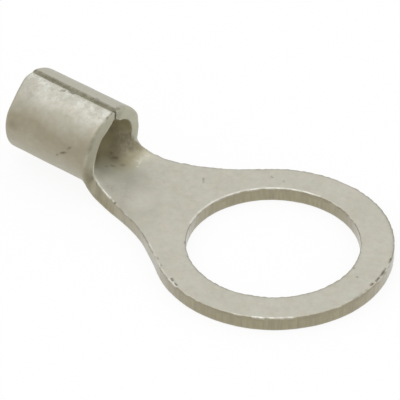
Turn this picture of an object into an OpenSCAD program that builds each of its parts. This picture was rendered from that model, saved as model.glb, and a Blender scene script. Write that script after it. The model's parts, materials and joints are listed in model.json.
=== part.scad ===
// Uninsulated ring terminal: one piece of tinned copper sheet, blanked flat as a ring with a
// flared neck and two wings, then rolled so that the wings meet in a seam on top of a wire barrel.
// Origin: centre of the stud hole on the underside. +Z is up and the wire barrel lies towards -X.
// A point of the sheet is [x, s, n]: x along the centre line, s across the flat blank from the
// centre line, and n up from the underside. bend() carries it to its place in the finished part.

/* [Sheet] */
// Thickness of the copper sheet
sheet_thickness = 0.8; // [0.5:0.05:1.2]
// Radius of the rolled-over edge that blanking leaves on the underside and outside
edge_radius = 0.15; // [0.05:0.01:0.25]
// Bevel along the sheared edges of the top face, which is the barrel's inside
shear_bevel = 0.06; // [0.02:0.01:0.1]

/* [Ring] */
// Diameter of the stud hole, 8.4 for an M8 stud
stud_hole_diameter = 8.4; // [6.4:0.1:9]
// Outside diameter of the ring
ring_diameter = 11.6; // [11:0.1:14]

/* [Neck] */
// Width of the neck where it starts to curl up
neck_width = 4.75; // [4.2:0.05:5.4]
// Angle between each edge of the neck and the centre line
neck_taper = 13.5; // [8:0.5:18]
// Radius of the concave arc between the neck and the ring
flare_radius = 9.9; // [6:0.1:11]

/* [Wire barrel] */
// Outside diameter of the rolled barrel
barrel_diameter = 4.25; // [3.9:0.05:5]
// Length of the barrel from the line of the notches to its wire end
barrel_length = 4.3; // [3:0.05:8]
// Distance from the stud hole's centre to the line of the notches between neck and wings
barrel_offset = 10.6; // [10.2:0.1:13]
// Length over which the flat neck curls up into the barrel
roll_length = 3.2; // [3:0.1:3.8]
// Inside radius of the notch between the neck and each wing
notch_radius = 1.6; // [0.6:0.05:1.8]
// How far the front of each wing leans ahead of its notch
wing_reach = 0.85; // [0:0.05:1.2]
// Gap between the two wings along the seam
seam_gap = 0.12; // [0.05:0.01:0.3]
// Angle by which the barrel rises from the ring's plane towards its wire end
barrel_tilt = 2.25; // [0.5:0.05:4]

/* [Hidden] */

// Facets: degrees for each facet round the ring, and counts elsewhere
rim_step = 4;
edge_facets = 3;
neck_stations = 10;
roll_stations = 7;
notch_stations = 10;
strip_columns = 15;
wing_columns = 8;
// Depth that sizing the bores takes off the rolled and blanked walls
bore_ream = 0.01;
// Extra length that carries a cutter clear through
through = 1;
$fn = 96;

ring_radius = ring_diameter / 2;
stud_hole_radius = stud_hole_diameter / 2;
barrel_radius = barrel_diameter / 2;
bore_radius = barrel_radius - sheet_thickness + bore_ream;
middle_radius = barrel_radius - sheet_thickness / 2;
roll_start = -(barrel_offset - roll_length);
mouth_x = -barrel_offset;
wire_end_x = mouth_x - barrel_length;
wing_half_width = PI * middle_radius - seam_gap / 2;

// The neck's straight edge lies at neck_line from the origin along its outward normal. The flare's
// circle touches that edge and the ring's rim, and the notch's circle the edge and the wing's front.
neck_line = neck_width / 2 * cos(neck_taper) - roll_start * sin(neck_taper);
flare_lift = neck_line + flare_radius;
flare_run = sqrt(pow(ring_radius + flare_radius, 2) - pow(flare_lift, 2));
flare_centre = [
    -flare_lift * sin(neck_taper) - flare_run * cos(neck_taper),
    flare_lift * cos(neck_taper) - flare_run * sin(neck_taper)
];
flare_start = flare_centre * ring_radius / (ring_radius + flare_radius);
flare_end = flare_centre + flare_radius * [sin(neck_taper), -cos(neck_taper)];
rim_angle = 180 - atan(-flare_start.y / flare_start.x);
notch_centre = [
    mouth_x + notch_radius,
    (neck_line + notch_radius + (mouth_x + notch_radius) * sin(neck_taper)) / cos(neck_taper)
];
notch_start = notch_centre + notch_radius * [sin(neck_taper), -cos(neck_taper)];
root_half_width = notch_centre.y;

// Smooth step from 0 to 1
function ease(u) = let (v = min(1, max(0, u))) v * v * (3 - 2 * v);

// Share of the barrel's full curl at x
function curl(x) = pow(ease((roll_start - x) / roll_length), 2);

// Lean of the wings towards the ring, which grows up their sides and dies out at the wire end
function lean(x, s) = wing_reach
    * ease((abs(s) - middle_radius) / (root_half_width - middle_radius))
    * (x > mouth_x ? ease((roll_start - x) / roll_length) : (x - wire_end_x) / barrel_length);

// Place of a sheet point in the finished part: curled about the centre line, then tilted
function bend(p) = curl(p.x) == 0 ? p : let (
    k = curl(p.x) / middle_radius,
    turn = p.y * k * 180 / PI,
    lift = p.z - sheet_thickness / 2,
    across = sin(turn) / k - lift * sin(turn),
    up = sheet_thickness / 2 + (1 - cos(turn)) / k + lift * cos(turn),
    behind = max(0, roll_start - p.x),
    arc = min(behind, roll_length),
    tilt = barrel_tilt * arc / roll_length,
    tilt_radius = roll_length * 180 / PI / barrel_tilt,
    straight = behind - arc,
    ahead = p.x + behind + lean(p.x, p.y)
) [
    ahead - tilt_radius * sin(tilt) - straight * cos(tilt) + up * sin(tilt),
    across,
    tilt_radius * (1 - cos(tilt)) + straight * sin(tilt) + up * cos(tilt)
];

// Vertices of the blank's outline on its +Y side, as [x, s, inward x, inward s]. An edge that is
// set in by d lies at [x + d * inward x, s + d * inward s].
function rim_vertex(a) = [ring_radius * cos(a), ring_radius * sin(a), -cos(a), -sin(a)];
function flare_vertex(x) = let (a = asin((x - flare_centre.x) / flare_radius))
    [x, flare_centre.y - flare_radius * cos(a), sin(a), -cos(a)];
function taper_vertex(x) =
    [x, (neck_line + x * sin(neck_taper)) / cos(neck_taper), sin(neck_taper), -cos(neck_taper)];
function neck_vertex(x) = x > flare_end.x ? flare_vertex(x) : taper_vertex(x);
function notch_vertex(a) = [
    notch_centre.x + notch_radius * sin(a), notch_centre.y - notch_radius * cos(a), sin(a), -cos(a)
];
function between(a, b, u) = a + (b - a) * u;
function column_s(k) = k <= strip_columns
    ? root_half_width * k / strip_columns
    : between(root_half_width, wing_half_width, (k - strip_columns) / wing_columns);
columns = strip_columns + wing_columns;

rim = [for (i = [0 : ceil(rim_angle / rim_step) - 1])
    rim_vertex(i * rim_angle / ceil(rim_angle / rim_step))];
neck = [for (i = [0 : neck_stations - 1])
    neck_vertex(between(flare_start.x, roll_start, i / neck_stations))];
strip = concat(
    [for (i = [0 : roll_stations - 1])
        neck_vertex(between(roll_start, notch_start.x, i / roll_stations))],
    [for (i = [0 : notch_stations])
        notch_vertex(between(neck_taper, -90, i / notch_stations))]
);
wing_front = [for (k = [strip_columns + 1 : columns])
    [mouth_x, column_s(k), -1, k == columns ? -1 : 0]];
wire_end = [for (k = [columns : -1 : 0])
    [wire_end_x, column_s(k), 1, k == columns ? -1 : 0]];
side = concat(rim, neck, strip, wing_front, wire_end);

// The whole outline: the +Y side from the ring's tip to the wire end, and back along the -Y side
last = len(side) - 1;
outline = concat(side, [for (i = [last - 1 : -1 : 1]) [side[i][0], -side[i][1], side[i][2], -side[i][3]]]);
count = len(outline);
function side_vertex(i, hand) = hand > 0 || i == 0 || i == last ? i : count - i;

// Rows of the edge, from the top face's edge down the wall and round the rolled-over corner
edge_rows = concat(
    [[shear_bevel, sheet_thickness], [0, sheet_thickness - shear_bevel]],
    [for (i = [0 : edge_facets]) let (a = 90 * i / edge_facets)
        [edge_radius * (1 - cos(a)), edge_radius * (1 - sin(a))]]
);
edge_points = [for (row = edge_rows) for (v = outline)
    bend([v[0] + row[0] * v[2], v[1] + row[0] * v[3], row[1]])];
bottom_row = len(edge_rows) - 1;

// Points inside the curled strip, one row for each of its stations
inner_columns = 2 * strip_columns - 1;
function strip_points(inset, n) = [for (v = strip) for (j = [1 : inner_columns])
    bend([v[0] + inset * v[2], (v[1] + inset * v[3]) * (j / strip_columns - 1), n])];
points = concat(
    edge_points, strip_points(shear_bevel, sheet_thickness), strip_points(edge_radius, 0)
);

// Numbers of the points on one face, the top's or the underside's
first_strip = len(rim) + len(neck);
function face_vertex(top, i, hand) = side_vertex(i, hand) + (top ? 0 : bottom_row * count);
function strip_row(top, i) = concat(
    [face_vertex(top, first_strip + i, -1)],
    [for (j = [0 : inner_columns - 1])
        len(edge_points) + ((top ? 0 : len(strip)) + i) * inner_columns + j],
    [face_vertex(top, first_strip + i, 1)]
);
first_wing = first_strip + len(strip);
function mouth_row(top) = concat(
    [for (k = [wing_columns - 1 : -1 : 0]) face_vertex(top, first_wing + k, -1)],
    strip_row(top, len(strip) - 1),
    [for (k = [0 : wing_columns - 1]) face_vertex(top, first_wing + k, 1)]
);
first_end = first_wing + wing_columns;
function wire_end_row(top) = concat(
    [for (k = [0 : columns]) face_vertex(top, first_end + k, -1)],
    [for (k = [columns - 1 : -1 : 0]) face_vertex(top, first_end + k, 1)]
);

// Faces run clockwise as seen from outside
function facing(top, face) = top ? face : [for (i = [len(face) - 1 : -1 : 0]) face[i]];
function quads(top, front, back) = [for (j = [0 : len(front) - 2]) each [
    facing(top, [front[j], back[j], back[j + 1]]),
    facing(top, [front[j], back[j + 1], front[j + 1]])
]];
function rung(top, i) = [face_vertex(top, i, -1), face_vertex(top, i, 1)];
function fan(top, rung, row) = concat(
    [for (j = [0 : len(row) - 2])
        facing(top, [rung[j < strip_columns ? 0 : 1], row[j], row[j + 1]])],
    [facing(top, [rung[0], row[strip_columns], rung[1]])]
);
function skin(top) = concat(
    [facing(top, [face_vertex(top, 0, 1), each rung(top, 1)])],
    [for (i = [1 : first_strip - 2]) each quads(top, rung(top, i), rung(top, i + 1))],
    fan(top, rung(top, first_strip - 1), strip_row(top, 0)),
    [for (i = [0 : len(strip) - 2]) each quads(top, strip_row(top, i), strip_row(top, i + 1))],
    quads(top, mouth_row(top), wire_end_row(top))
);
edge_faces = [for (r = [0 : bottom_row - 1]) for (i = [0 : count - 1]) let (
    j = (i + 1) % count,
    a = r * count,
    b = a + count
) each [[a + i, b + j, b + i], [a + i, a + j, b + j]]];

module rolled_sheet() {
    polyhedron(points = points, faces = concat(skin(true), skin(false), edge_faces));
}

// Stud hole with the same bevel on top and rolled-over edge underneath as the outline
module stud_hole() {
    rotate_extrude()
        difference() {
            polygon([
                [0, -through],
                [stud_hole_radius + edge_radius, -through],
                [stud_hole_radius + edge_radius, edge_radius],
                [stud_hole_radius, edge_radius],
                [stud_hole_radius, sheet_thickness - shear_bevel],
                [stud_hole_radius + shear_bevel + through, sheet_thickness + through],
                [0, sheet_thickness + through]
            ]);
            translate([stud_hole_radius + edge_radius, edge_radius])
                circle(r = edge_radius);
        }
}

// Bore of the barrel, sized after rolling as far as the sheet is fully curled
module wire_bore() {
    translate(bend([mouth_x, 0, barrel_radius]))
        rotate([0, 90 + barrel_tilt, 0])
            translate([0, 0, -barrel_length - through])
                cylinder(r = bore_radius, h = barrel_length + through);
}

module ring_terminal() {
    color("silver")
        difference() {
            rolled_sheet();
            stud_hole();
            wire_bore();
        }
}

ring_terminal();
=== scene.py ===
"""Visual model of an uninsulated ring terminal: one rolled sheet of tinned copper on a pale floor.

The CAD frame comes first, and everything is placed in its coordinates, in metres: the origin is
the centre of the stud hole on the underside, +Z is up, and the wire barrel lies towards -X.
"""

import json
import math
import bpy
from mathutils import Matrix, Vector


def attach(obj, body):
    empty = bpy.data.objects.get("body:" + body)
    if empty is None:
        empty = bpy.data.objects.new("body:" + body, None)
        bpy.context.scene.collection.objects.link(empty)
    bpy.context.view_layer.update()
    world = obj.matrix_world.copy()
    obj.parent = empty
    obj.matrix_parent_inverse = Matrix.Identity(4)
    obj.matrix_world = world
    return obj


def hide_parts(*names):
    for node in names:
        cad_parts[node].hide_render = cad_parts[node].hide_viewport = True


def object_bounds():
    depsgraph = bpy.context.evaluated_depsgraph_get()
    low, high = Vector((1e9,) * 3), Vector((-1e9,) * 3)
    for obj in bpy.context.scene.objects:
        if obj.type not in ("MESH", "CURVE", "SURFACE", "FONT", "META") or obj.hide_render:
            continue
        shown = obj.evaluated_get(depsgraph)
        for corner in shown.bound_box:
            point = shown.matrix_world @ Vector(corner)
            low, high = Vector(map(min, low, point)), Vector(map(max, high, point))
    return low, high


bl_info = {
    "name": "Ring Terminal",
    "version": (1, 0, 0),
    "blender": (4, 5, 0),
    "location": "3D View > Sidebar > Ring Terminal",
    "description": "Builds a rolled sheet ring terminal with its tin plating, floor, light and camera",
    "category": "Object",
}

import bmesh
import bpy
import numpy as np
from bpy.props import FloatProperty, FloatVectorProperty, PointerProperty
from mathutils import Matrix, Vector, noise

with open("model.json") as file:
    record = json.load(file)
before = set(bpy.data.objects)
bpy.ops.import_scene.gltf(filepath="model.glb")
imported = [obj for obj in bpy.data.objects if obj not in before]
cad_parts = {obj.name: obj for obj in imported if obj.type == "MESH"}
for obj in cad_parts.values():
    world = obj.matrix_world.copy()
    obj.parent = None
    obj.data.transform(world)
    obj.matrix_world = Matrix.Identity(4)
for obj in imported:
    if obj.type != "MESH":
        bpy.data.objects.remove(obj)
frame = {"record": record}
CAD_BOX = [list(corner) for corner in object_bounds()]
MOUNTS = {mount["name"]: mount for mount in frame["record"]["mounts"]}
MM = 0.001
HOLE_RADIUS = MOUNTS["stud_hole"]["dims"]["r_mm"] * MM


def length(name, default, description):
    return FloatProperty(name=name, description=description, default=default, min=0.0,
                         unit="LENGTH", precision=5)


def angle(name, degrees, description):
    return FloatProperty(name=name, description=description, default=math.radians(degrees), subtype="ANGLE")


def colour(name, default, description):
    return FloatVectorProperty(name=name, description=description, default=(*default, 1.0), size=4,
                               min=0.0, max=1.0, subtype="COLOR")


class TerminalSizes(bpy.types.PropertyGroup):
    """Sizes of the blank and of its roll"""

    thickness: length("Thickness", 0.0008, "Thickness of the sheet")
    rolled_edge: length("Rolled edge", 0.00015, "Radius that blanking leaves on the underside")
    bevel: length("Shear bevel", 0.00006, "Small radius on the sheared edges of the top face")
    hole: length("Stud hole", 2 * HOLE_RADIUS, "Diameter of the stud hole")
    ring: length("Ring", 0.0116, "Outside diameter of the ring")
    neck: length("Neck", 0.00475, "Width of the neck where it starts to curl up")
    taper: angle("Taper", 13.5, "Angle between each neck edge and the centre line")
    flare: length("Flare", 0.0099, "Radius of the arc between the neck and the ring")
    barrel: length("Barrel", 0.00425, "Outside diameter of the wire barrel")
    barrel_length: length("Barrel length", 0.0043, "Length from the notches' line to the wire end")
    barrel_offset: length("Barrel offset", 0.0106, "Distance from the hole's centre to the notches' line")
    roll: length("Roll", 0.0032, "Length over which the neck curls up into the barrel")
    notch: length("Notch", 0.0016, "Radius of the notch between the neck and each wing")
    reach: length("Wing reach", 0.00085, "How far the front of each wing leans ahead of its notch")
    seam: length("Seam", 0.00012, "Gap between the wings along the seam")
    tilt: angle("Tilt", 2.25, "Rise of the barrel towards its wire end")
    drift: length("Drift", 0.00005, "How far the neck and the barrel sit to the -Y side")
    skew: length("Seam skew", 0.00018, "How far the seam runs to the +Y side at the wire end")
    swell: length("Swell", 0.00009, "How far the rim stands out on its +Y side")
    crowd: length("Crowd", 0.000056, "How far each lip bulges into the seam below its rounded edge")
    grid: length("Grid", 0.000068, "Spacing of the mesh over the sheet")
    relief: length("Relief", 0.000012, "Height of the soft dents in the sheet")


class TerminalColours(bpy.types.PropertyGroup):
    """Colours of the plating and of the stage"""

    tin: colour("Tin", (0.615, 0.608, 0.540), "Clean matt tin")
    # Dull tin: the real duller patches of the mottle, painted reflected light on faces turned down, and the
    # darker far wing beside the seam.
    dull_tin_and_reflection: colour("Dull tin", (0.545, 0.532, 0.460), "Tin that is a little tarnished")
    tin_rose: colour("Rosy tin", (0.632, 0.596, 0.530), "Faintly rosy tin in soft patches")
    # Painted shade: warmer, darker tin on the sides that face outwards and down, and on bevels that face +Y;
    # also the real warm specks beside the seam.
    warm_shade_and_speck: colour("Warm tin", (0.430, 0.390, 0.292), "Tarnish on the sides that face outwards and down")
    # Painted light: lighter tin on the inside of the roll.
    inner_painted_light: colour("Inner tin", (0.740, 0.740, 0.650), "Tin on the inside of the roll")
    # Painted shade: darker, olive tin deep in the bore.
    bore_shade: colour("Tin in the bore", (0.580, 0.542, 0.405), "Tarnish inside the barrel")
    # Bright patches beside the seam: partly scuffs, partly painted highlight.
    scuff_and_glint: colour("Scuff", (0.80, 0.80, 0.76), "Bright scuffs beside the seam")
    sheared: colour("Sheared edge", (0.315, 0.285, 0.174), "Plating over the sheared walls")
    sheared_dark: colour("Dark shear", (0.215, 0.182, 0.118), "Streaks and patches on the sheared walls")
    # Painted light on the sheared fronts of the wings and along the notches.
    sheared_painted_light: colour("Light shear", (0.700, 0.705, 0.605), "Plating over the fronts of the wings")
    # Bevels and edges painted bright: partly polished tin and partly painted glints.
    burnish_and_glint: colour("Burnished tin", (0.86, 0.85, 0.80), "Tin rubbed bright on the bevels")
    stain_and_shade: colour("Stain", (0.110, 0.088, 0.052), "Dark stains in pits and corners")
    # Dark marks: real pits and stains, and painted shade in the seam, along the brims and in the mouth.
    floor: colour("Floor", (0.93, 0.93, 0.93), "Floor and backdrop")
    sky_top: colour("Light overhead", (1.0, 1.0, 0.985), "Light from overhead")
    sky_low: colour("Light low down", (0.55, 0.54, 0.51), "Light from near the horizon")
    sky_side: colour("Light from the side", (0.98, 0.97, 0.93), "Light from low down beyond the ring's tip")


# The sheet

# Marks as strokes on the blank in millimetres: real pits, dark strokes that are partly stains and partly
# painted shade, and bright strokes that are painted highlights; x and s of both ends, n, reach and strength
MARKS = {
    "pit": (
        (-3.69, -4.32, -3.64, -4.36, 0.80, 0.07, 0.5), (-3.25, -4.65, -3.19, -4.70, 0.80, 0.07, 0.6),
        (-2.20, -5.17, -2.10, -5.24, 0.80, 0.10, 1.0), (-1.86, -5.36, -1.72, -5.44, 0.80, 0.08, 0.9),
        (-3.40, -2.54, -3.36, -2.58, 0.80, 0.07, 0.7), (-2.63, -3.36, -2.58, -3.40, 0.80, 0.07, 0.7),
        (4.24, 0.70, 4.26, 0.64, 0.80, 0.07, 0.7), (4.77, 0.22, 4.80, 0.18, 0.80, 0.07, 0.6),
        (5.25, 2.32, 5.36, 2.06, 0.80, 0.08, 0.9), (5.49, 1.57, 5.52, 1.45, 0.80, 0.07, 0.7),
        (5.54, 1.36, 5.61, 1.00, 0.80, 0.085, 1.0), (5.64, 0.80, 5.69, 0.50, 0.80, 0.08, 1.0),
        (5.61, 1.00, 5.64, 0.80, 0.80, 0.06, 0.5), (5.64, 0.26, 5.66, 0.10, 0.80, 0.085, 1.0),
        (-5.69, 2.03, -5.48, 1.76, 0.80, 0.06, 0.5), (-3.11, 4.12, -3.00, 4.08, 0.80, 0.06, 0.5),
        (-2.42, 4.19, -2.34, 4.16, 0.80, 0.06, 0.4), (-9.41, -2.09, -9.38, -2.09, 0.66, 0.07, 0.8),
        (-8.00, -2.20, -7.95, -2.22, 0.78, 0.08, 0.8), (-8.75, -1.43, -8.74, -1.40, 0.80, 0.06, 0.5),
        (-13.14, -5.13, -13.06, -5.17, 0.0, 0.09, 0.7), (-12.86, -5.26, -12.66, -5.28, 0.0, 0.09, 0.7),
        (-11.72, -2.79, -11.56, -2.88, 0.0, 0.08, 0.8), (-11.50, -3.14, -11.45, -3.18, 0.0, 0.07, 0.6),
        (-11.87, -2.59, -11.84, -2.61, 0.0, 0.07, 0.6), (-11.76, 5.22, -11.70, 5.22, 0.0, 0.08, 0.6),
        (-10.58, -5.00, -10.66, -5.28, 0.04, 0.06, 0.8), (-10.60, -4.90, -10.64, -4.98, 0.04, 0.09, 0.7),
    ),
    # Dark strokes, partly stains and partly painted shade in the mouth and the roll.
    "stain_and_shade": (
        (-10.42, 0.97, -10.38, 0.95, 0.80, 0.16, 0.50), (-10.14, 0.78, -10.02, 0.80, 0.80, 0.20, 0.70),
        (-10.28, 0.66, -10.20, 0.68, 0.80, 0.16, 0.40), (-9.50, 0.50, -9.44, 0.55, 0.80, 0.14, 0.35),
        (-10.10, -0.12, -10.04, -0.10, 0.80, 0.13, 0.30), (-9.92, 0.15, -9.80, 0.18, 0.80, 0.14, 0.32),
        (-10.36, 0.95, -10.06, 0.72, 0.80, 0.42, 0.30), (-9.94, 1.86, -9.74, 1.80, 0.80, 0.60, 0.66),
        (-10.22, 2.05, -10.02, 1.45, 0.80, 0.80, 0.46), (-9.95, 1.85, -9.60, 1.60, 0.80, 0.80, 0.30),
        (-10.60, 5.36, -10.60, 5.10, 0.45, 0.42, 0.30), (-14.50, -2.95, -14.40, -2.90, 0.0, 0.30, 0.20),
        (-14.60, -4.60, -14.30, -4.30, 0.0, 0.70, 0.16), (-10.66, 4.80, -10.68, 5.05, 0.05, 0.22, 0.20),
        (-10.70, 5.34, -10.66, 5.12, 0.03, 0.14, 0.55), (-10.76, 2.40, -10.26, 2.14, 0.80, 0.55, 0.34),
        (-10.50, 2.24, -10.22, 2.30, 0.80, 0.40, 0.52), (-9.85, 2.15, -9.62, 1.85, 0.80, 0.65, 0.55),
        (-10.60, -3.90, -10.62, -3.50, 0.05, 0.18, 0.22), (-10.62, -4.60, -10.60, -3.30, 0.05, 0.09, 0.30),
        (-10.61, -4.40, -10.61, -4.15, 0.05, 0.13, 0.36), (-10.61, -3.88, -10.61, -3.78, 0.05, 0.15, 0.48),
        (-10.61, -3.58, -10.61, -3.46, 0.05, 0.15, 0.46), (-9.50, -1.55, -8.85, -1.55, 0.80, 0.55, 0.24),
        (-10.10, -2.46, -9.95, -2.36, 0.40, 0.30, 0.16), (5.73, -0.30, 5.72, -0.42, 0.80, 0.09, 0.3),
        (5.70, -0.66, 5.68, -0.84, 0.80, 0.09, 0.35), (5.66, -1.00, 5.62, -1.22, 0.80, 0.09, 0.35),
    ),
    # Bright strokes: painted highlights along the edges, and painted light on the neck's floor.
    "bright": (
        (-10.34, -2.75, -10.12, -2.47, 0.80, 0.13, 1.0), (-10.12, -2.47, -9.88, -2.27, 0.80, 0.16, 1.0),
        (-9.88, -2.27, -9.62, -2.13, 0.80, 0.15, 1.0), (-9.62, -2.13, -9.22, -2.03, 0.80, 0.11, 0.8),
        (-9.05, -2.00, -8.35, -2.08, 0.80, 0.13, 0.9), (-8.15, -2.18, -7.60, -2.32, 0.80, 0.07, 0.6),
        (-4.72, -3.57, -4.40, -3.84, 0.80, 0.08, 0.5), (-4.40, -3.84, -3.90, -4.24, 0.80, 0.07, 0.4),
        (-3.56, -4.54, -3.20, -4.80, 0.80, 0.08, 0.5), (-3.05, -4.88, -2.50, -5.19, 0.80, 0.07, 0.4),
        (-2.35, -5.26, -1.70, -5.52, 0.80, 0.08, 0.8), (2.55, -5.17, 3.02, -4.93, 0.80, 0.09, 0.9),
        (3.20, -4.80, 3.66, -4.46, 0.80, 0.08, 0.8), (3.66, -4.46, 4.10, -4.07, 0.80, 0.09, 0.9),
        (5.46, 1.92, 5.62, 1.38, 0.80, 0.07, 0.7), (5.70, 0.95, 5.77, 0.50, 0.80, 0.07, 0.6),
        (-4.06, -1.25, -4.25, -0.30, 0.80, 0.08, 0.7), (-4.25, -0.30, -4.20, 0.75, 0.80, 0.08, 0.8),
        (-4.20, 0.75, -3.96, 1.55, 0.80, 0.09, 0.9), (-3.96, 1.55, -3.52, 2.40, 0.80, 0.08, 0.8),
        (-3.52, 2.40, -2.90, 3.12, 0.80, 0.09, 0.9), (-2.90, 3.12, -2.12, 3.70, 0.80, 0.09, 1.0),
        (-2.12, 3.70, -1.25, 4.08, 0.80, 0.08, 0.8), (-1.25, 4.08, -0.30, 4.25, 0.80, 0.08, 0.8),
        (-6.63, -1.26, -6.60, -1.24, 0.80, 0.07, 0.6), (-8.56, -0.63, -8.53, -0.60, 0.80, 0.07, 0.7),
        (-9.15, 1.17, -8.99, 1.22, 0.80, 0.09, 0.55), (-8.88, 1.06, -9.00, 1.48, 0.80, 0.08, 0.55),
        (-8.84, 0.84, -8.80, 0.88, 0.80, 0.09, 0.6), (-8.92, 1.66, -8.82, 1.78, 0.80, 0.08, 0.3),
        (-8.50, -0.72, -8.47, -0.68, 0.80, 0.08, 0.6), (-8.60, -1.20, -7.20, -1.30, 0.80, 1.10, 0.36),
    ),
}

# Places where the sheet is thinner on the inside, as x, s, reach along x, reach along s and depth
HOLLOWS = (
    (-10.6, 3.6, 0.5, 1.3, 0.17),
    (-10.35, 2.7, 0.40, 0.6, 0.22),
    (-10.6, 5.36, 0.6, 0.3, 0.20),
    (-10.6, -5.36, 0.6, 0.35, 0.30),
    (-10.4, -2.4, 0.5, 0.9, 0.08),
)
# Most by which they thin the sheet together
MOST_HOLLOW = 0.34

# Places where the outline lies off the drawing, as x, s, reach along x, reach along s, and the shift
# along x and s of the underside and of the top face
PUSHES = (
    (-10.1, -2.6, 0.5, 0.6, 0.0, 0.0, 0.42, 0.0),
    (-8.2, -2.15, 0.8, 0.4, 0.0, 0.0, 0.0, 0.12),
    (-9.6, 2.2, 0.38, 0.5, -0.30, 0.0, 0.0, 0.0),
    (-9.1, 2.1, 0.8, 0.5, 0.0, 0.05, 0.0, 0.05),
    (-4.7, -3.9, 0.7, 0.9, 0.0, -0.07, 0.0, -0.07),
    (-10.6, 3.5, 0.4, 0.5, 0.07, 0.0, 0.0, 0.0),
    (-10.4, 2.8, 0.4, 0.4, 0.08, 0.0, 0.0, 0.0),
    (-9.1, -2.1, 0.8, 0.5, 0.0, -0.06, 0.0, 0.0),
    (-14.9, -5.05, 1.5, 0.4, -0.08, 0.0, -0.08, 0.0),
    (-14.9, -3.9, 1.5, 0.5, 0.05, 0.0, 0.05, 0.0),
    (-14.9, 5.3, 1.5, 0.7, -0.10, 0.0, -0.10, 0.0),
)

# Angle where the rim stands out most, and how far round it that spreads
SWELL_ANGLE, SWELL_SPREAD = 1.2, 0.55
# Share of the seam's skew that is there at the mouth already
MOUTH_SKEW = 0.6
# Where the neck starts to drift to the side, and the length over which it does
DRIFT_START, DRIFT_RUN = -4.0, 4.0
# Length behind the mouth over which the lips' bulge grows
BULGE_RUN = 0.35
# Where a lip's bulge starts above the underside and ends below the top face, and how softly
BULGE_START, BULGE_RISE = 0.08, 0.16
BULGE_END, BULGE_FALL = 0.06, 0.2
# Least curl, so that the flat stretches bend with the same formula
LEAST_CURL = 1e-6
# Slack in telling which points of the outline are on a lip
LIP_SLACK = 1e-9
# Points that share a place to this many parts of a millimetre are welded
WELD_PARTS = 1e5
# Points across the bevel, across the sheared wall and across the rolled edge
BEVEL_POINTS, WALL_POINTS, ROLLED_POINTS = 5, 8, 7
# Fewest mesh steps along any stretch
FEWEST_STEPS = 4
# Least angle at which two faces meet in a sharp edge
SHARP_ANGLE = math.radians(60)

# Sizes of the dents, of the small dents and of the jags, and the share of the small dents
DENT_SIZE, SMALL_DENT_SIZE, JAG_SIZE = 1.3, 0.45, 0.22
SMALL_DENTS = 0.3
# How much the jags are drawn out upright, and their strength on the sheared walls and on the bevels
JAG_STRETCH, WALL_JAGS, BEVEL_JAGS = 0.3, 0.6, 2.2
# Step through the noise from one seed to the next
SEED_STEP = (17.3, 5.1, 11.7)
# Depth of a pit as a share of its reach
PIT_DEPTH = 0.4
# Dirt and painted shade in the seam: its strength, its reach and fade from the far lip, its reach and fade
# up from the underside, and how far behind the mouth it starts
GROOVE_GRIME_AND_SHADE = 0.68
GROOVE_REACH, GROOVE_FADE = 0.16, 0.11
GROOVE_LEVEL, GROOVE_LEVEL_FADE = 0.22, 0.16
GROOVE_START = 0.05
# Painted shade along the brims of the top face: its strength, its reach and fade from the edge, its lowest
# n, the angles that it lies towards on the hole and on the rim, and the x where the outline's ends
BRIM_SHADE = 0.32
BRIM_REACH, BRIM_FADE = 0.15, 0.09
BRIM_LEVEL = 0.7
HOLE_BRIM_ANGLE, RIM_BRIM_ANGLE = -0.9416, 1.7
BRIM_END = -9.1


def ease(u):
    """Smooth step from 0 to 1."""
    v = np.clip(u, 0.0, 1.0)
    return v * v * (3.0 - 2.0 * v)


def spot(x, s, at_x, at_s, reach_x, reach_s):
    """Share of a soft round spot on the blank, 1 at its middle."""
    return np.exp(-((x - at_x) / reach_x) ** 2 - ((s - at_s) / reach_s) ** 2)


def lies_towards(turn, towards):
    """Share of a round edge that lies towards an angle, fading to both sides."""
    return ease(0.2 + 1.2 * np.cos(turn - towards))


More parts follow.
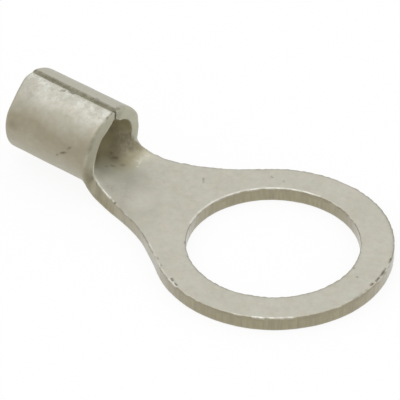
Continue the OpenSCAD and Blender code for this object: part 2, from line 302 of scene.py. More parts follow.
class Blank:
    """The flat blank and its roll in millimetres: x along the centre line, s across the sheet from
    the centre line, and n up from the underside."""

    def __init__(self, sizes):
        self.thickness = sizes.thickness / MM
        self.rolled_edge = sizes.rolled_edge / MM
        self.bevel = sizes.bevel / MM
        self.hole_radius = sizes.hole / MM / 2
        self.ring_radius = sizes.ring / MM / 2
        self.flare_radius = sizes.flare / MM
        self.notch_radius = sizes.notch / MM
        self.middle_radius = sizes.barrel / MM / 2 - self.thickness / 2
        self.barrel_length = sizes.barrel_length / MM
        self.roll = sizes.roll / MM
        self.reach = sizes.reach / MM
        self.drift = sizes.drift / MM
        self.skew = sizes.skew / MM
        self.swell = sizes.swell / MM
        self.crowd = sizes.crowd / MM
        self.tilt = sizes.tilt
        self.taper = sizes.taper
        self.grid = sizes.grid / MM
        self.mouth_x = -sizes.barrel_offset / MM
        self.roll_start = self.mouth_x + self.roll
        self.wire_end_x = self.mouth_x - self.barrel_length
        self.half_width = math.pi * self.middle_radius - sizes.seam / MM / 2
        sine, cosine = math.sin(self.taper), math.cos(self.taper)
        self.neck_line = sizes.neck / MM / 2 * cosine - self.roll_start * sine
        lift = self.neck_line + self.flare_radius
        reach = self.ring_radius + self.flare_radius
        run = math.sqrt(reach ** 2 - lift ** 2)
        self.flare_centre = (-lift * sine - run * cosine, lift * cosine - run * sine)
        self.flare_start = self.flare_centre[0] * self.ring_radius / reach
        self.flare_end = self.flare_centre[0] + self.flare_radius * sine
        self.rim_angle = math.atan2(self.flare_centre[1], self.flare_centre[0])
        notch_x = self.mouth_x + self.notch_radius
        self.notch_centre = (notch_x, (self.neck_line + self.notch_radius + notch_x * sine) / cosine)
        self.notch_start = notch_x + self.notch_radius * sine
        self.root = self.notch_centre[1]

    def steps(self, distance):
        """Number of mesh steps along a distance."""
        return max(FEWEST_STEPS, round(distance / self.grid))

    def curl(self, x):
        """Share of the barrel's full curl, 0 in the flat neck and 1 in the barrel."""
        return ease((self.roll_start - x) / self.roll) ** 2

    def lean(self, x, s):
        """How far the wings lean ahead: most at their fronts, and nothing at the wire end."""
        side = ease((np.abs(s) - self.middle_radius) / (self.root - self.middle_radius))
        behind = (x - self.wire_end_x) / self.barrel_length
        along = np.where(x > self.mouth_x, ease((self.roll_start - x) / self.roll), behind)
        return self.reach * side * along

    def settle(self, sheet):
        """Small departures from the drawing: thinner places, an uneven outline and a seam askew."""
        x, s, n = sheet.T
        share = n / self.thickness
        hollow = sum(depth * spot(x, s, *place) for *place, depth in HOLLOWS)
        turn = np.arctan2(s, x)
        outward = ease((np.hypot(x, s) - self.hole_radius) / (self.ring_radius - self.hole_radius))
        swell = self.swell * outward * np.exp(-((turn - SWELL_ANGLE) / SWELL_SPREAD) ** 2)
        back = np.clip((self.mouth_x - x) / self.barrel_length, 0.0, 1.0)
        askew = (self.skew * (MOUTH_SKEW + (1 - MOUTH_SKEW) * back)
                 * self.curl(x) * (np.abs(s) / self.half_width) ** 2)
        ahead, aside = swell * np.cos(turn), swell * np.sin(turn) - askew
        for *place, under_x, under_s, top_x, top_s in PUSHES:
            near = spot(x, s, *place)
            ahead = ahead + near * (under_x + (top_x - under_x) * share)
            aside = aside + near * (under_s + (top_s - under_s) * share)
        return np.stack([x + ahead, s + aside, n - np.minimum(hollow, MOST_HOLLOW) * share], axis=1)

    def bend(self, sheet):
        """Carries points of the flat blank to their places in the rolled terminal."""
        x, s, n = sheet.T
        k = np.maximum(self.curl(x), LEAST_CURL) / self.middle_radius
        turn = s * k
        lift = n - self.thickness / 2
        across = np.sin(turn) / k - lift * np.sin(turn)
        up = self.thickness / 2 + (1 - np.cos(turn)) / k + lift * np.cos(turn)
        behind = np.maximum(0.0, self.roll_start - x)
        arc = np.minimum(behind, self.roll)
        tilt = self.tilt * arc / self.roll
        radius = self.roll / self.tilt
        straight = behind - arc
        ahead = x + behind + self.lean(x, s)
        return np.stack([
            ahead - radius * np.sin(tilt) - straight * np.cos(tilt) + up * np.sin(tilt),
            across - self.drift * ease((DRIFT_START - x) / DRIFT_RUN),
            radius * (1 - np.cos(tilt)) + straight * np.sin(tilt) + up * np.cos(tilt),
        ], axis=1)

    # Vertices of the outline on the +Y side, as rows of x, s, inward x and inward s

    def rim(self, turn):
        return np.stack([self.ring_radius * np.cos(turn), self.ring_radius * np.sin(turn),
                         -np.cos(turn), -np.sin(turn)], axis=1)

    def neck(self, x):
        sine, cosine = math.sin(self.taper), math.cos(self.taper)
        swing = np.arcsin(np.clip((x - self.flare_centre[0]) / self.flare_radius, -1, 1))
        flare = np.stack([x, self.flare_centre[1] - self.flare_radius * np.cos(swing),
                          np.sin(swing), -np.cos(swing)], axis=1)
        flat = np.ones_like(x)
        straight = np.stack([x, (self.neck_line + x * sine) / cosine, sine * flat, -cosine * flat], axis=1)
        return np.where((x > self.flare_end)[:, None], flare, straight)

    def notch(self, turn):
        return np.stack([self.notch_centre[0] + self.notch_radius * np.sin(turn),
                         self.notch_centre[1] - self.notch_radius * np.cos(turn),
                         np.sin(turn), -np.cos(turn)], axis=1)

    def stations(self):
        """The outline's stations on the +Y side, in the runs that the faces and the edge share."""
        rim = self.rim(np.linspace(0, self.rim_angle, self.steps(self.rim_angle * self.ring_radius) + 1))
        neck = self.neck(np.linspace(self.flare_start, self.roll_start,
                                     self.steps(self.flare_start - self.roll_start) + 1))
        roll = self.neck(np.linspace(self.roll_start, self.notch_start,
                                     self.steps(self.roll_start - self.notch_start) + 1))
        notch = self.notch(np.linspace(self.taper, -math.pi / 2,
                                       self.steps(self.notch_radius * (self.taper + math.pi / 2)) + 1))
        return rim, neck, np.vstack([roll[:-1], notch])

    def barrel_rows(self, inset):
        """Rows of the barrel along x, from the mouth to the wire end."""
        return np.linspace(self.mouth_x - inset, self.wire_end_x + inset, self.steps(self.barrel_length) + 1)

    def floor_columns(self):
        """Columns across the neck and the barrel's floor, from -1 to 1."""
        return np.linspace(-1, 1, 2 * self.steps(self.root) + 1)

    def wing_columns(self, inset):
        """Columns across the +Y wing as s, from its root to its lip."""
        return np.linspace(self.root, self.half_width - inset, self.steps(self.half_width - self.root) + 1)

    def neck_turns(self):
        """Angles of the ring's stations where the neck joins it, from the -Y side to the +Y side."""
        return math.pi - self.floor_columns() * (math.pi - self.rim_angle)

    def ring_turns(self):
        """Angles of all the ring's stations, once round from +X."""
        rims = np.linspace(0, self.rim_angle, len(self.stations()[0]))
        return np.concatenate([rims[:-1], self.neck_turns()[::-1][:-1], 2 * math.pi - rims[::-1]])

    def face(self, inset, n):
        """One face of the sheet as grids of points, its border set in by inset."""
        _, neck, strip = self.stations()
        columns, turns = self.floor_columns(), self.ring_turns()
        inner, outer = self.hole_radius + inset, self.ring_radius - inset
        radii = np.linspace(inner, outer, self.steps(outer - inner) + 1)
        ring = np.stack([radii[:, None] * np.cos(turns), radii[:, None] * np.sin(turns)], axis=2)

        arc = outer * np.stack([np.cos(self.neck_turns()), np.sin(self.neck_turns())], axis=1)
        edge = neck[:, :2] + inset * neck[:, 2:]
        row = np.stack([np.full(len(columns), edge[-1, 0]), edge[-1, 1] * columns], axis=1)
        v = np.linspace(0, 1, len(edge))[:, None, None]
        u = ((columns + 1) / 2)[None, :, None]
        far, near = edge[:, None, :], (edge * [1, -1])[:, None, :]
        corners = (1 - v) * ((1 - u) * near[0] + u * far[0]) + v * ((1 - u) * near[-1] + u * far[-1])
        tongue = (1 - v) * arc + v * row + (1 - u) * near + u * far - corners

        place = strip[:, :2] + inset * strip[:, 2:]
        curl = np.stack([np.repeat(place[:, :1], len(columns), axis=1), place[:, 1:] * columns], axis=2)

        wing = self.wing_columns(inset)
        s = np.concatenate([-wing[::-1], self.root * columns[1:-1], wing])
        barrel = np.stack(np.broadcast_arrays(self.barrel_rows(inset)[:, None], s[None, :]), axis=2)
        return [np.dstack([g, np.full(g.shape[:2], n)]) for g in (ring, tongue, curl, barrel)]

    def outline(self):
        """The closed outline as rows of x, s, inward x and inward s, from the ring's tip and back."""
        rim, neck, strip = self.stations()
        wing = self.wing_columns(0)
        rows = self.barrel_rows(0)
        narrow = -np.linspace(0, 1, len(wing))
        front = np.stack([np.full(len(wing), self.mouth_x), wing, np.full(len(wing), -1.0), narrow], axis=1)
        lip = np.stack([rows, np.full(len(rows), self.half_width), np.linspace(-1, 1, len(rows)),
                        np.full(len(rows), -1.0)], axis=1)
        columns = self.floor_columns()
        middle = self.root * columns[columns >= 0][::-1][1:]
        s = np.concatenate([wing[::-1], middle])
        end = np.stack([np.full(len(s), self.wire_end_x), s, np.ones(len(s)),
                        np.concatenate([narrow[::-1], 0 * middle])], axis=1)
        side = np.vstack([rim[:-1], neck[:-1], strip[:-1], front[:-1], lip[:-1], end])
        return np.vstack([side, (side * [1, -1, 1, -1])[::-1][1:]])

    def hole(self):
        """The hole's edge as rows of x, s, inward x and inward s."""
        turns = self.ring_turns()
        return np.stack([self.hole_radius * np.cos(turns), self.hole_radius * np.sin(turns),
                         np.cos(turns), np.sin(turns)], axis=1)

    def profile(self):
        """Rows of the edge from the top face to the underside: share of the bevel's inset, of the
        rolled edge's inset, n, share of sheared wall and share of the bevel's crest."""
        top = np.linspace(0, math.pi / 2, BEVEL_POINTS)
        under = np.linspace(0, math.pi / 2, ROLLED_POINTS)
        wall = np.linspace(self.thickness - self.bevel, self.rolled_edge, WALL_POINTS + 2)[1:-1]
        return np.concatenate([
            np.stack([1 - np.sin(top), 0 * top, self.thickness - self.bevel * (1 - np.cos(top)),
                      np.sin(top), np.sin(2 * top)], axis=1),
            np.stack([0 * wall, 0 * wall, wall, 1 + 0 * wall, 0 * wall], axis=1),
            np.stack([0 * under, 1 - np.cos(under), self.rolled_edge * (1 - np.sin(under)),
                      np.cos(under), 0 * under], axis=1),
        ])

    def edges(self):
        """The outline's edge and the hole's edge as grids of points, with their shares of sheared
        wall and of the bevel's crest."""
        profile = self.profile()
        grids, walls, crests = [], [], []
        for line in (self.outline(), self.hole()):
            x, s, inward_x, inward_s = line.T
            lips = (np.abs(s) > self.half_width - LIP_SLACK) * ease((self.mouth_x - x) / BULGE_RUN)
            rows = []
            for bevel, rolled, n in profile[:, :3]:
                inset = self.bevel * bevel + self.rolled_edge * rolled
                bulge = (self.crowd * ease((n - BULGE_START) / BULGE_RISE)
                         * ease((self.thickness - BULGE_END - n) / BULGE_FALL))
                rows.append(np.column_stack([x + inset * inward_x, s + (inset - bulge * lips) * inward_s,
                                             np.full(len(line), n)]))
            grids.append(np.stack(rows))
            walls.append(np.repeat(profile[:, 3:4], len(line), axis=1))
            crests.append(np.repeat(profile[:, 4:5], len(line), axis=1))
        return grids, walls, crests


def weld(grids, *shares):
    """Joins grids of points into one list of points and quads, welding the shared borders. The shares
    belong to the last grids, and those before them have none."""
    points = np.vstack([g.reshape(-1, 3) for g in grids])
    extras = []
    for share in shares:
        known = np.concatenate([e.reshape(-1) for e in share])
        extras.append(np.concatenate([np.zeros(len(points) - len(known)), known]))
    _, first, same = np.unique(np.round(points * WELD_PARTS).astype(np.int64), axis=0,
                               return_index=True, return_inverse=True)
    same = same.reshape(-1)
    quads, start = [], 0
    for g in grids:
        rows, columns = g.shape[:2]
        ids = same[start:start + rows * columns].reshape(rows, columns)
        corners = [ids[:-1, :-1], ids[:-1, 1:], ids[1:, 1:], ids[1:, :-1]]
        quads.append(np.stack(corners, axis=2).reshape(-1, 4))
        start += rows * columns
    return points[first], [extra[first] for extra in extras], np.vstack(quads)


def wear_and_painted_light(sheet):
    """Darkness, brightness and depth of the marks at each sheet point: pits and stains, painted shade and
    painted highlights.
    """
    dark, bright, depth = np.zeros((3, len(sheet)))
    for kind, marks in MARKS.items():
        for x0, s0, x1, s1, n, reach, strength in marks:
            start, run = np.array((x0, s0, n)), np.array((x1 - x0, s1 - s0, 0.0))
            along = np.clip((sheet - start) @ run / (run @ run), 0.0, 1.0)
            away = np.sum((sheet - start - along[:, None] * run) ** 2, axis=1) / reach ** 2
            share = strength * np.clip(1.0 - away, 0.0, 1.0) ** 1.5
            if kind == "bright":
                bright = np.maximum(bright, share)
            else:
                dark = np.maximum(dark, share)
            if kind == "pit":
                depth = np.maximum(depth, PIT_DEPTH * reach * share)
    return dark, bright, depth


def grime_and_shade(blank, sheet):
    """Darkness in the seam's groove and on the far lip's rounded edge, partly dirt and partly painted shade,
    and painted shade along the top face's brims.
    """
    x, s, n = sheet.T
    groove = (ease((GROOVE_REACH - (blank.half_width - s)) / GROOVE_FADE)
              * ease((GROOVE_LEVEL - n) / GROOVE_LEVEL_FADE) * (x < blank.mouth_x - GROOVE_START))
    radius, turn = np.hypot(x, s), np.arctan2(s, x)
    beyond = np.where(x > blank.flare_start, radius - blank.ring_radius, s - blank.neck(x)[:, 1])
    hole_brim = (ease((blank.hole_radius - radius + BRIM_REACH) / BRIM_FADE)
                 * lies_towards(turn, HOLE_BRIM_ANGLE))
    rim_brim = ease((beyond + BRIM_REACH) / BRIM_FADE) * lies_towards(turn, RIM_BRIM_ANGLE) * (x > BRIM_END)
    brim = np.maximum(hole_brim, rim_brim) * (n > BRIM_LEVEL)
    return np.maximum(GROOVE_GRIME_AND_SHADE * groove, BRIM_SHADE * brim)


def soft_noise(points, size, seed):
    """Smooth noise from -1 to 1 at each point, with features of that size."""
    shift = Vector([seed * step for step in SEED_STEP])
    return np.array([noise.noise(Vector(p) / size + shift) for p in points])


def dents(points, wall, crest):
    """Soft dents all over, and jagged ones on the sheared walls and most of all on the bevels."""
    soft = ((1 - SMALL_DENTS) * soft_noise(points, DENT_SIZE, 1)
            + SMALL_DENTS * soft_noise(points, SMALL_DENT_SIZE, 2))
    jagged = soft_noise(points * [1, 1, JAG_STRETCH], JAG_SIZE, 3)
    return soft + (WALL_JAGS * wall + BEVEL_JAGS * crest) * jagged


def set_attribute(mesh, name, kind, values):
    layer = mesh.attributes.new(name, kind, "POINT")
    layer.data.foreach_set("vector" if kind == "FLOAT_VECTOR" else "value",
                           np.ascontiguousarray(values, dtype=np.float32).reshape(-1))


def rolled_sheet_mesh(sizes):
    """The whole terminal as one closed mesh, with the place on the blank of each vertex, and its wear marks,
    painted shade and painted highlights.
    """
    blank = Blank(sizes)
    edge_grids, walls, crests = blank.edges()
    faces = blank.face(blank.bevel, blank.thickness) + blank.face(blank.rolled_edge, 0.0)
    sheet, (wall, crest), quads = weld(faces + edge_grids, walls, crests)
    points = blank.bend(blank.settle(sheet))

    mesh = bpy.data.meshes.new("ring_terminal_sheet")
    mesh.from_pydata((points * MM).tolist(), [], quads.tolist())
    build = bmesh.new()
    build.from_mesh(mesh)
    bmesh.ops.recalc_face_normals(build, faces=build.faces)
    build.to_mesh(mesh)
    build.free()

    normals = np.array([v.normal for v in mesh.vertices])
    dark, bright, depth = wear_and_painted_light(sheet)
    height = sizes.relief / MM * dents(points, wall, crest) - depth
    low, high = (np.array(corner) / MM for corner in CAD_BOX)
    moved = np.clip(points + normals * height[:, None], low, high)
    mesh.vertices.foreach_set("co", (moved * MM).astype(np.float32).reshape(-1))
    set_attribute(mesh, "blank", "FLOAT_VECTOR", sheet)
    shares = {"wall": wall, "crest": crest, "curl": blank.curl(sheet[:, 0]),
              "dark": np.maximum(dark, grime_and_shade(blank, sheet)), "bright": bright}
    for name, values in shares.items():
        set_attribute(mesh, name, "FLOAT", values)
    mesh.shade_smooth()
    mesh.set_sharp_from_angle(angle=SHARP_ANGLE)
    mesh.update()
    return mesh


# The plating

# Roughness of the clear coat, and height of the orange peel in metres
COAT_ROUGHNESS = 0.38
PEEL_HEIGHT = 0.00003


class Nodes:
    """Adds nodes to a tree; an input takes a value or another node's output."""

    def __init__(self, tree):
        self.tree = tree
        tree.nodes.clear()

    def add(self, kind, inputs=None, **settings):
        made = self.tree.nodes.new(kind)
        for name, value in settings.items():
            setattr(made, name, value)
        for name, value in (inputs or {}).items():
            if isinstance(value, bpy.types.NodeSocket):
                self.tree.links.new(value, made.inputs[name])
            else:
                made.inputs[name].default_value = value
        return made

    def attribute(self, name, output="Fac"):
        return self.add("ShaderNodeAttribute", attribute_name=name).outputs[output]

    def parts(self, vector):
        return self.add("ShaderNodeSeparateXYZ", {0: vector}).outputs

    def noise(self, place, scale, detail=2.0, roughness=0.5):
        return self.add("ShaderNodeTexNoise", {"Vector": place, "Scale": scale, "Detail": detail,
                                               "Roughness": roughness}).outputs["Fac"]

    def math(self, operation, a, b):
        return self.add("ShaderNodeMath", {0: a, 1: b}, operation=operation).outputs[0]

    def times(self, a, b):
        return self.math("MULTIPLY", a, b)

    def plus(self, a, b):
        return self.math("ADD", a, b)

    def most(self, a, b):
        return self.math("MAXIMUM", a, b)

    def ramp(self, value, low, high, to_low=0.0, to_high=1.0):
        """Carries a value from the span low to high over to another span, and holds it there."""
        return self.add("ShaderNodeMapRange", {"Value": value, "From Min": low, "From Max": high,
                                               "To Min": to_low, "To Max": to_high}).outputs["Result"]

    def mix(self, share, a, b):
        """Mixes two colours, by the mix node's colour sockets."""
        return self.add("ShaderNodeMix", {0: share, 6: a, 7: b}, data_type="RGBA").outputs[2]


class Plating:
    """Matt tin over the sheet as nodes, laid by each vertex's place on the blank, its wear marks, and the
    painted shade and highlights that it carries. The mouth is the notches' line as x on the blank in
    millimetres."""

    def __init__(self, nodes, colours, mouth):
        n = self.nodes = nodes
        self.colours = colours
        self.mouth = mouth
        coordinates = n.add("ShaderNodeTexCoord").outputs
        self.place = n.add("ShaderNodeVectorMath", {0: coordinates["Object"], 3: 1 / MM},
                           operation="SCALE").outputs[0]
        self.blank = n.attribute("blank", "Vector")
        self.along, self.across, self.level = n.parts(self.blank)
        self.wall, self.curl, self.crest, self.dark, self.bright = (
            n.attribute(name) for name in ("wall", "curl", "crest", "dark", "bright"))
        self.facing = n.parts(coordinates["Normal"])
        self.cloud = n.noise(self.place, 0.7, 3.0, 0.55)
        self.mottle = n.noise(self.place, 3.2, 4.0, 0.6)
        self.grain = n.noise(self.place, 9.0, 3.0, 0.7)
        under = n.ramp(self.level, 0.3, 0.1)
        self.beside_seam = n.times(n.times(n.ramp(self.across, -4.1, -5.0), under), self.curl)
        self.beyond_seam = n.times(n.ramp(self.across, 3.4, 4.6), n.times(self.curl, under))
        self.flat_wall = n.times(self.wall, n.ramp(self.curl, 0.8, 0.2))
        # Bevel crests and bright strokes: polished tin, and painted glints and highlights.
        rubbed_and_glinting = n.times(self.crest, n.ramp(n.noise(self.place, 1.3, 3.0), 0.5, 0.62, 0.0, 0.45))
        self.rubbed_and_glinting = n.most(rubbed_and_glinting, n.times(self.bright, n.ramp(self.mottle, 0.36, 0.56, 0.25, 0.9)))

    def mottled_and_shaded_face(self):
        """Mottled tin of both faces, with painted shade where they face outwards and painted reflected light
        where they face down.
        """
        n, colours = self.nodes, self.colours
        tone = n.plus(n.times(n.ramp(self.cloud, 0.3, 0.7), 0.4),
                      n.times(n.ramp(self.mottle, 0.3, 0.7), 0.35))
        tone = n.plus(tone, n.times(n.ramp(self.grain, 0.3, 0.7), 0.25))
        face = n.mix(n.ramp(n.noise(self.place, 1.5), 0.46, 0.62), colours.tin, colours.tin_rose)
        face = n.mix(tone, face, colours.dull_tin_and_reflection)
        upright = n.plus(self.facing["Z"], n.times(n.ramp(self.cloud, 0.3, 0.7, -1.0, 1.0), 0.15))
        # Painted shade on faces turned outwards, and painted reflected light on faces turned down.
        face = n.mix(n.ramp(upright, 0.86, 0.40), face, colours.warm_shade_and_speck)
        return n.mix(n.ramp(upright, 0.2, -0.4, 0.0, 0.6), face, colours.dull_tin_and_reflection)

    def rolled_face(self, face):
        """Painted light on the inside of the roll, painted shade deeper in the bore, and darker tin on the
        far wing beside the seam.
        """
        n, colours = self.nodes, self.colours
        inside = n.ramp(self.level, 0.6, 0.74)
        # Painted light inside the roll, then painted shade deeper in the bore.
        face = n.mix(n.times(inside, n.ramp(self.curl, 0.05, 0.4)), face, colours.inner_painted_light)
        depth = n.most(n.ramp(self.along, self.mouth + 0.15, self.mouth - 0.25),
                       n.times(n.ramp(self.across, -0.15, 0.7), n.ramp(self.curl, 0.08, 0.42)))
        face = n.mix(n.times(inside, depth), face, colours.bore_shade)
        return n.mix(n.times(self.beyond_seam, 0.7), face, colours.dull_tin_and_reflection)

    def scuffed_and_glinting_face(self, face):
        """Bright patches beside the seam, partly scuffs and partly painted highlight, and warm specks."""
        n, colours = self.nodes, self.colours
        patches = n.times(n.ramp(n.noise(self.place, 2.4, 4.0, 0.75), 0.42, 0.60),
                          n.ramp(self.grain, 0.32, 0.56, 0.2))
        # Bright patches beside the seam, partly scuffs and partly painted highlight.
        face = n.mix(n.times(n.times(patches, self.beside_seam), 0.8), face, colours.scuff_and_glint)
        specks = n.times(n.ramp(n.noise(self.place, 7.0, 3.0, 0.7), 0.60, 0.70),
                         n.ramp(self.beside_seam, 0.1, 0.7))
        return n.mix(n.times(specks, 0.6), face, colours.warm_shade_and_speck)

    def sheared_wall(self):
        """Walls with upright streaks and a brown upper band, and painted light along the notches and wing
        fronts.
        """
        n, colours = self.nodes, self.colours
        stretch = n.add("ShaderNodeVectorMath", {0: self.blank, 1: (1.0, 1.0, 0.12)},
                        operation="MULTIPLY").outputs[0]
        streaks = n.ramp(n.noise(stretch, 7.0, 3.0, 0.65), 0.35, 0.7)
        brow = n.times(n.ramp(self.level, 0.48, 0.64), n.ramp(n.noise(self.place, 1.6), 0.32, 0.6))
        darker = n.most(n.times(streaks, 0.85), n.times(brow, 0.7))
        wall = n.mix(darker, colours.sheared, colours.sheared_dark)
        # Painted light on the wing fronts and the notches, less of it along the lips in the seam.
        front = n.plus(n.ramp(self.curl, 0.1, 0.5, 0.0, 0.22),
                       n.ramp(self.along, self.mouth + 0.42, self.mouth + 0.04, 0.0, 0.48))
        far_front = n.times(n.ramp(self.across, 0.0, 0.5), n.ramp(self.curl, 0.54, 0.67, 0.0, 0.7))
        outside_lips = n.ramp(self.along, self.mouth - 0.12, self.mouth - 0.02, 0.8, 1.0)
        return n.mix(n.times(n.most(front, far_front), outside_lips), wall, colours.sheared_painted_light)

    def colour(self):
        """Faces and walls together, with painted shade on the bevels that face +Y, polished tin and painted
        glints on the bevels, and dark marks that are partly pits and stains and partly painted shade.
        """
        n, colours = self.nodes, self.colours
        face = self.scuffed_and_glinting_face(self.rolled_face(self.mottled_and_shaded_face()))
        base = n.mix(n.times(self.wall, 0.9), face, self.sheared_wall())
        # Painted shade on the bevels that face +Y.
        shade_on_bevels = n.times(self.crest, n.ramp(self.facing["Y"], 0.1, 0.6, 0.0, 0.6))
        base = n.mix(shade_on_bevels, base, colours.warm_shade_and_speck)
        base = n.mix(self.rubbed_and_glinting, base, colours.burnish_and_glint)
        # Dark marks: pits and stains, and painted shade in the seam, along the brims and in the mouth.
        stained_and_shaded = n.times(self.dark, n.ramp(n.noise(self.place, 6.0, 3.0, 0.6), 0.3, 0.6, 0.55, 1.0))
        return n.mix(stained_and_shaded, base, colours.stain_and_shade)

    def roughness(self):
        """Matt faces, with the polished and glinting places and the flat walls smoother."""
        n = self.nodes
        rough = n.math("SUBTRACT", n.ramp(self.mottle, 0.3, 0.7, 0.56, 0.68), n.times(self.rubbed_and_glinting, 0.25))
        return n.times(rough, n.ramp(self.flat_wall, 0.0, 1.0, 1.0, 0.5))

    def bump(self):
        """Orange peel, stronger on the roll and most of all beside the seam."""
        n = self.nodes
        peel = n.most(n.ramp(self.curl, 0.0, 1.0, 0.2, 0.7), self.beside_seam)
        height = n.plus(n.times(self.mottle, 0.5), n.times(self.grain, 0.3))
        return n.add("ShaderNodeBump", {"Strength": n.times(peel, 0.8), "Distance": PEEL_HEIGHT,
                                        "Height": height}).outputs["Normal"]


def tin_material(colours, mouth):
    """Matt tin over copper sheet, metal all over, with a thin clear coat on the flat sheared walls."""
    material = bpy.data.materials.new("tinned_copper")
    material.use_nodes = True
    n = Nodes(material.node_tree)
    tin = Plating(n, colours, mouth)
    shader = n.add("ShaderNodeBsdfPrincipled", {
        "Base Color": tin.colour(), "Metallic": 1.0, "Roughness": tin.roughness(),
        "Coat Weight": tin.flat_wall, "Coat Roughness": COAT_ROUGHNESS, "Normal": tin.bump()})
    n.add("ShaderNodeOutputMaterial", {"Surface": shader.outputs["BSDF"]})
    return material


class TERMINAL_OT_sheet(bpy.types.Operator):
    """Make the rolled sheet with its ring, neck and wire barrel"""

    bl_idname = "terminal.sheet"
    bl_label = "Rolled sheet"

    def execute(self, context):
        sizes, colours = context.scene.terminal_sizes, context.scene.terminal_colours
        mesh = rolled_sheet_mesh(sizes)
        mesh.materials.append(tin_material(colours, -sizes.barrel_offset / MM))
        piece = bpy.data.objects.new("rolled_sheet", mesh)
        context.scene.collection.objects.link(piece)
        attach(piece, "root")
        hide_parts("ring_terminal")
        return {"FINISHED"}


# The stage, in metres

# Half the width of the floor
FLOOR_REACH = 1.5
# Share of plain white in the floor as the camera and the metal see it
FLOOR_WHITE = 0.9
# The lamp overhead: its place from the object's centre, its diameter and its radiance
LAMP_PLACE = Vector((-0.03, -0.03, 0.16))
LAMP_SIZE, LAMP_RADIANCE = 0.12, 0.8
# The camera: its turn and rise in degrees, its place in radii of the hole to the right, up and back,
# how far that is lifted, and its lens and sensor in millimetres
CAMERA_TURN, CAMERA_RISE = 36.8, 37.75
CAMERA_RIGHT, CAMERA_UP, CAMERA_BACK = -0.83828, 0.61245, 45.0
CAMERA_LIFT = 0.000076
LENS, SENSOR = 353.12, 36.0


def floor_material(colours):
    """Pale floor that keeps the object's shadow, and that the camera and the metal see as near white."""
    material = bpy.data.materials.new("pale_floor")
    material.use_nodes = True
    n = Nodes(material.node_tree)
    shader = n.add("ShaderNodeBsdfPrincipled", {"Base Color": colours.floor, "Roughness": 0.9,
                                                "Specular IOR Level": 0.1})
    white = n.add("ShaderNodeEmission", {"Color": (1.0, 1.0, 1.0, 1.0), "Strength": 1.0})
    path = n.add("ShaderNodeLightPath").outputs
    seen = n.most(path["Is Camera Ray"], n.most(path["Is Glossy Ray"], path["Is Transmission Ray"]))
    mixed = n.add("ShaderNodeMixShader", {0: n.times(seen, FLOOR_WHITE), 1: shader.outputs["BSDF"],
                                          2: white.outputs["Emission"]})
    n.add("ShaderNodeOutputMaterial", {"Surface": mixed.outputs["Shader"]})
    return material


def make_floor(scene, colours, height):
    """Wide square floor under the object."""
    mesh = bpy.data.meshes.new("floor")
    corners = [(x * FLOOR_REACH, y * FLOOR_REACH, height) for x, y in ((-1, -1), (1, -1), (1, 1), (-1, 1))]
    mesh.from_pydata(corners, [], [(0, 1, 2, 3)])
    mesh.materials.append(floor_material(colours))
    floor = bpy.data.objects.new("floor", mesh)
    scene.collection.objects.link(floor)


def make_light_tent(scene, colours):
    """World light that is bright overhead and softer near the horizon."""
    scene.world = bpy.data.worlds.new("light_tent")
    scene.world.use_nodes = True
    n = Nodes(scene.world.node_tree)
    towards = n.parts(n.add("ShaderNodeTexCoord").outputs["Generated"])
    low = n.mix(n.ramp(towards["X"], 0.3, 0.9), colours.sky_low, colours.sky_side)
    sky = n.mix(n.ramp(towards["Z"], 0.0, 0.55), low, colours.sky_top)
    background = n.add("ShaderNodeBackground", {"Color": sky, "Strength": 1.0})
    n.add("ShaderNodeOutputWorld", {"Surface": background.outputs[0]})


def make_lamp(scene, target):
    """Round soft box over the object, its power worked out from its radiance and its area."""
    lamp = bpy.data.lights.new("overhead_box", "AREA")
    lamp.shape = "DISK"
    lamp.size = LAMP_SIZE
    lamp.energy = LAMP_RADIANCE * math.pi * math.pi * (LAMP_SIZE / 2) ** 2
    box = bpy.data.objects.new("overhead_box", lamp)
    box.location = target + LAMP_PLACE
    box.rotation_mode = "QUATERNION"
    box.rotation_quaternion = (-LAMP_PLACE).to_track_quat("-Z", "Y")
    scene.collection.objects.link(box)


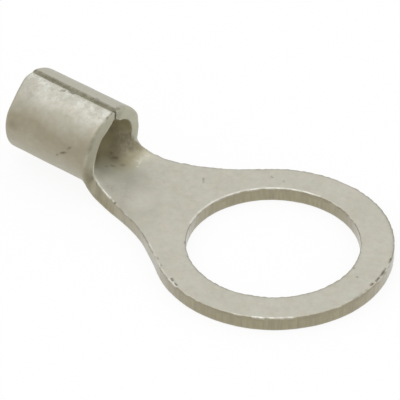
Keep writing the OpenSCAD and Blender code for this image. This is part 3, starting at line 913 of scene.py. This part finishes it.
def make_camera(scene):
    """Long lens that looks down on the ring from the -Y side, turned towards the +X end."""
    camera = bpy.data.cameras.new("camera")
    camera.sensor_width = SENSOR
    camera.lens = LENS
    camera.clip_start, camera.clip_end = 0.01, 10.0
    holder = bpy.data.objects.new("camera", camera)
    turn, rise = math.radians(CAMERA_TURN), math.radians(CAMERA_RISE)
    right = Vector((math.cos(turn), math.sin(turn), 0.0))
    back = Vector((math.sin(turn) * math.cos(rise), -math.cos(turn) * math.cos(rise), math.sin(rise)))
    up = back.cross(right)
    place = HOLE_RADIUS * (CAMERA_RIGHT * right + CAMERA_UP * up + CAMERA_BACK * back)
    place.z += CAMERA_LIFT
    holder.matrix_world = Matrix.Translation(place) @ Matrix((right, up, back)).transposed().to_4x4()
    scene.collection.objects.link(holder)
    scene.camera = holder


class TERMINAL_OT_stage(bpy.types.Operator):
    """Make the floor, the light and the camera"""

    bl_idname = "terminal.stage"
    bl_label = "Stage"

    def execute(self, context):
        scene, colours = context.scene, context.scene.terminal_colours
        low, high = (Vector(corner) for corner in CAD_BOX)
        make_floor(scene, colours, low.z)
        make_light_tent(scene, colours)
        make_lamp(scene, (low + high) / 2)
        make_camera(scene)
        scene.view_settings.view_transform = "Standard"
        return {"FINISHED"}


class TERMINAL_PT_panel(bpy.types.Panel):
    """Sizes, colours and operators of the ring terminal"""

    bl_label = "Ring Terminal"
    bl_idname = "TERMINAL_PT_panel"
    bl_space_type = "VIEW_3D"
    bl_region_type = "UI"
    bl_category = "Ring Terminal"

    def draw(self, context):
        layout = self.layout
        for group in (context.scene.terminal_sizes, context.scene.terminal_colours):
            box = layout.box()
            for name in type(group).__annotations__:
                box.prop(group, name)
        for operator in (TERMINAL_OT_sheet, TERMINAL_OT_stage):
            layout.operator(operator.bl_idname)


CLASSES = (TerminalSizes, TerminalColours, TERMINAL_OT_sheet, TERMINAL_OT_stage, TERMINAL_PT_panel)


def register():
    for made in CLASSES:
        bpy.utils.register_class(made)
    bpy.types.Scene.terminal_sizes = PointerProperty(type=TerminalSizes)
    bpy.types.Scene.terminal_colours = PointerProperty(type=TerminalColours)


def unregister():
    del bpy.types.Scene.terminal_colours
    del bpy.types.Scene.terminal_sizes
    for made in reversed(CLASSES):
        bpy.utils.unregister_class(made)


def main():
    register()
    bpy.ops.terminal.sheet()
    bpy.ops.terminal.stage()


if __name__ == "__main__":
    main()
